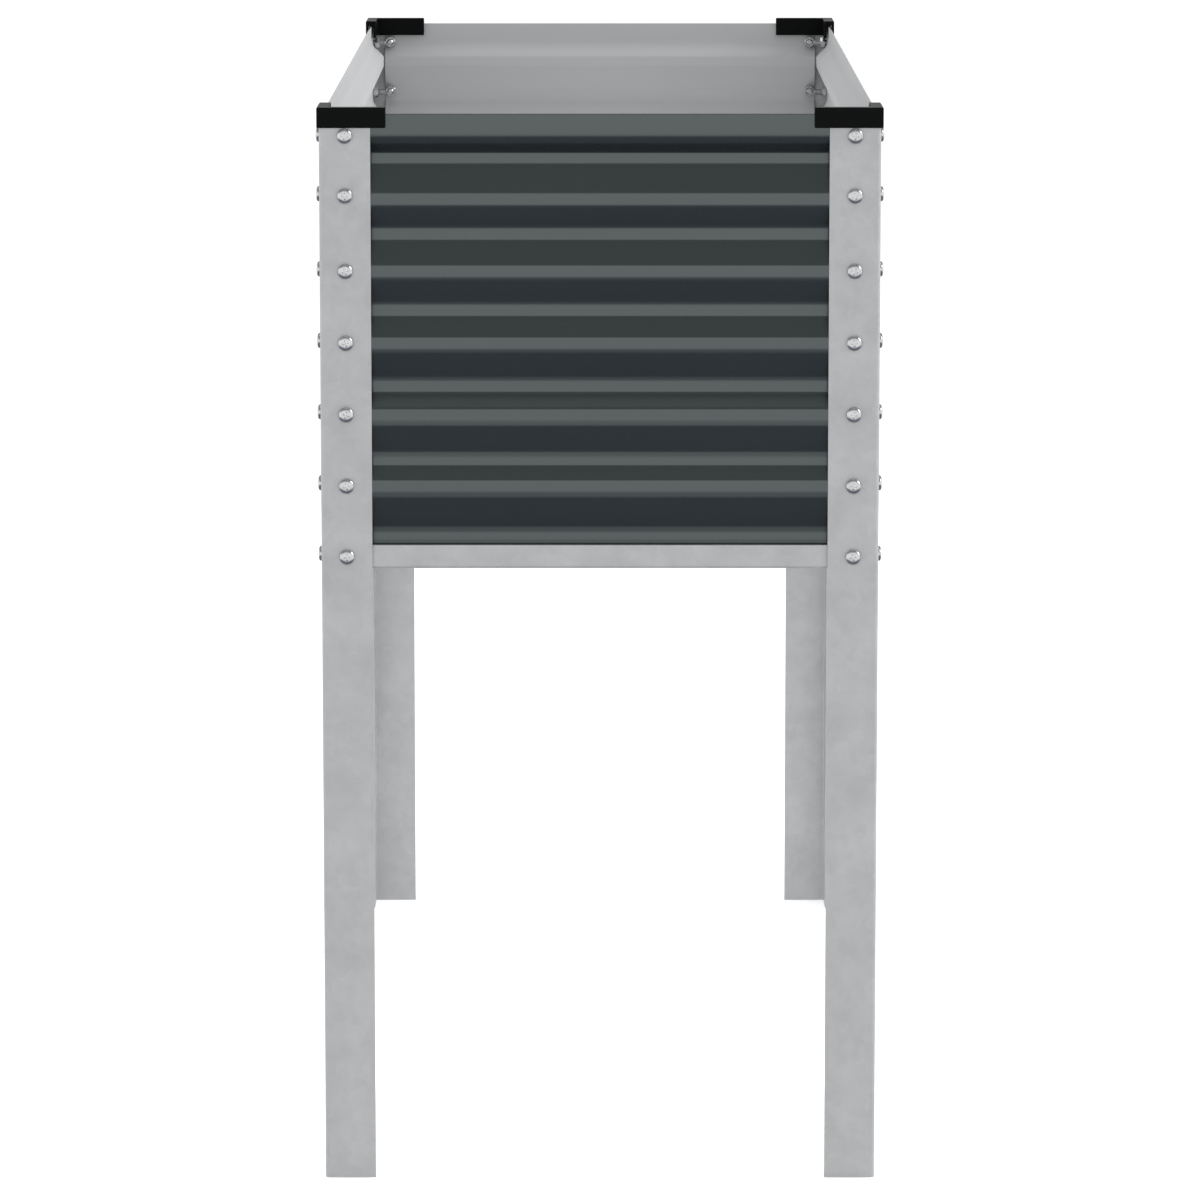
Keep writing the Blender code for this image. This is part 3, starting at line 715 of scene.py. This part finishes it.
# ---- Studio ----
def studio_world():
    """An even dome for soft light; in reflections a bright horizon, darker zones and one softbox."""
    world = bpy.data.worlds.new("studio")
    bpy.context.scene.world = world
    world.use_nodes = True
    tree = Tree(world.node_tree)
    background = world.node_tree.nodes["Background"]
    direction = tree.add("ShaderNodeTexCoord", output=0)
    height = tree.add("ShaderNodeSeparateXYZ", {0: direction}, output=2)
    degrees = tree.math("DEGREES", tree.math("ARCSINE", height))
    share = tree.add("ShaderNodeMapRange", {"Value": degrees, "From Min": -90.0, "From Max": 90.0})
    dome = tree.ramp(share, [((angle + 90.0) / 180.0, colour) for angle, colour in REFLECTED_ZONES])
    nearness = tree.add("ShaderNodeVectorMath", {
        0: direction, 1: Vector(SOFTBOX_TOWARD).normalized(),
    }, output=1, operation="DOT_PRODUCT")
    softbox = tree.add("ShaderNodeMapRange", {
        "Value": nearness, "From Min": 0.955, "From Max": 0.985, "To Max": SOFTBOX_LEVEL,
    })
    lit = tree.mix(1.0, dome, softbox, "ADD")
    rays = tree.add("ShaderNodeLightPath").node.outputs
    seen = tree.mix(rays["Is Glossy Ray"], DAYLIGHT, lit)
    colour = tree.mix(rays["Is Camera Ray"], seen, WHITE)
    tree.feed(background.inputs["Color"], colour)
    background.inputs["Strength"].default_value = WORLD_STRENGTH
    world.cycles.sampling_method = "NONE"


def studio_floor():
    work = bmesh.new()
    bmesh.ops.create_circle(work, cap_ends=True, segments=96, radius=3.0)
    floor = add_object("studio_floor", mesh_from(work, "studio_floor"))
    floor.location.z = -0.0002
    material = new_material(
        "studio_floor", 0.9, Base_Color=(0.80, 0.80, 0.80, 1.0),
        Emission_Color=WHITE, Emission_Strength=0.45)[0]
    floor.data.materials.append(material)
    floor.visible_glossy = False


def area_light(name, place, target, size, energy):
    data = bpy.data.lights.new(name, "AREA")
    data.shape = "RECTANGLE"
    data.size, data.size_y = size
    data.energy = energy
    light = add_object(name, data)
    light.location = place
    light.rotation_euler = (Vector(target) - Vector(place)).to_track_quat("-Z", "Y").to_euler()
    light.visible_camera = False
    light.visible_glossy = False


def studio_camera():
    """A long lens in front of one end, a little above the rim, looking slightly down."""
    data = bpy.data.cameras.new("camera")
    data.lens = CAMERA_LENS
    data.sensor_width = 36.0
    camera = add_object("camera", data)
    camera.location = CAMERA_PLACE
    camera.rotation_euler = (math.radians(90.0 - CAMERA_PITCH), 0.0, 0.0)
    bpy.context.scene.camera = camera


def build():
    grain = grain_group()
    steel = galvanised(grain)
    # near-black edge faces of legs and rails: painted shade for the contact shadow along their edges, in
    # part the darker raw cut edge
    cut_edge_and_painted_shade = new_material("cut_edge_and_painted_shade", 0.5, 0.5, Base_Color=(0.055, 0.056, 0.058, 1.0))[0]
    outside = sheet_paint(
        grain, "anthracite_paint", (0.009, 0.011, 0.012), (0.011, 0.0135, 0.0145), (0.19, 0.23),
        IOR=1.576, Specular_IOR_Level=1.0, Specular_Tint=(0.89, 1.0, 1.0, 1.0))
    inside = sheet_paint(
        grain, "light_grey_paint", (0.357, 0.359, 0.362), (0.380, 0.382, 0.385), (0.66, 0.74),
        Specular_IOR_Level=0.3)
    plastic = cap_plastic(grain)
    zinc = zinc_plate(grain)

    sheets = corrugation_tree()
    placing = placing_tree()
    # legs and rails get the near-black edge material on their eased edges, painted shade
    metal = ("galvanised_steel", [steel, cut_edge_and_painted_shade])
    for wall, kind in WALLS:
        add_wall_sheet(sheets, wall, kind, outside, inside)
        add_eased("%s_rail_%s" % (kind, wall), wall + "_rail", METAL_EDGE, *metal)
    for corner in CORNERS:
        add_eased("leg_" + corner, corner + "_leg", METAL_EDGE, *metal)
        add_eased("corner_cap_" + corner, corner + "_cap", CAP_EDGE, "cap_plastic", [plastic])
    add_floor(placing, steel)
    add_fasteners(placing, zinc)

    studio_world()
    studio_floor()
    for light in LIGHTS:
        area_light(*light)
    studio_camera()
    bpy.context.scene.view_settings.view_transform = "Standard"


build()
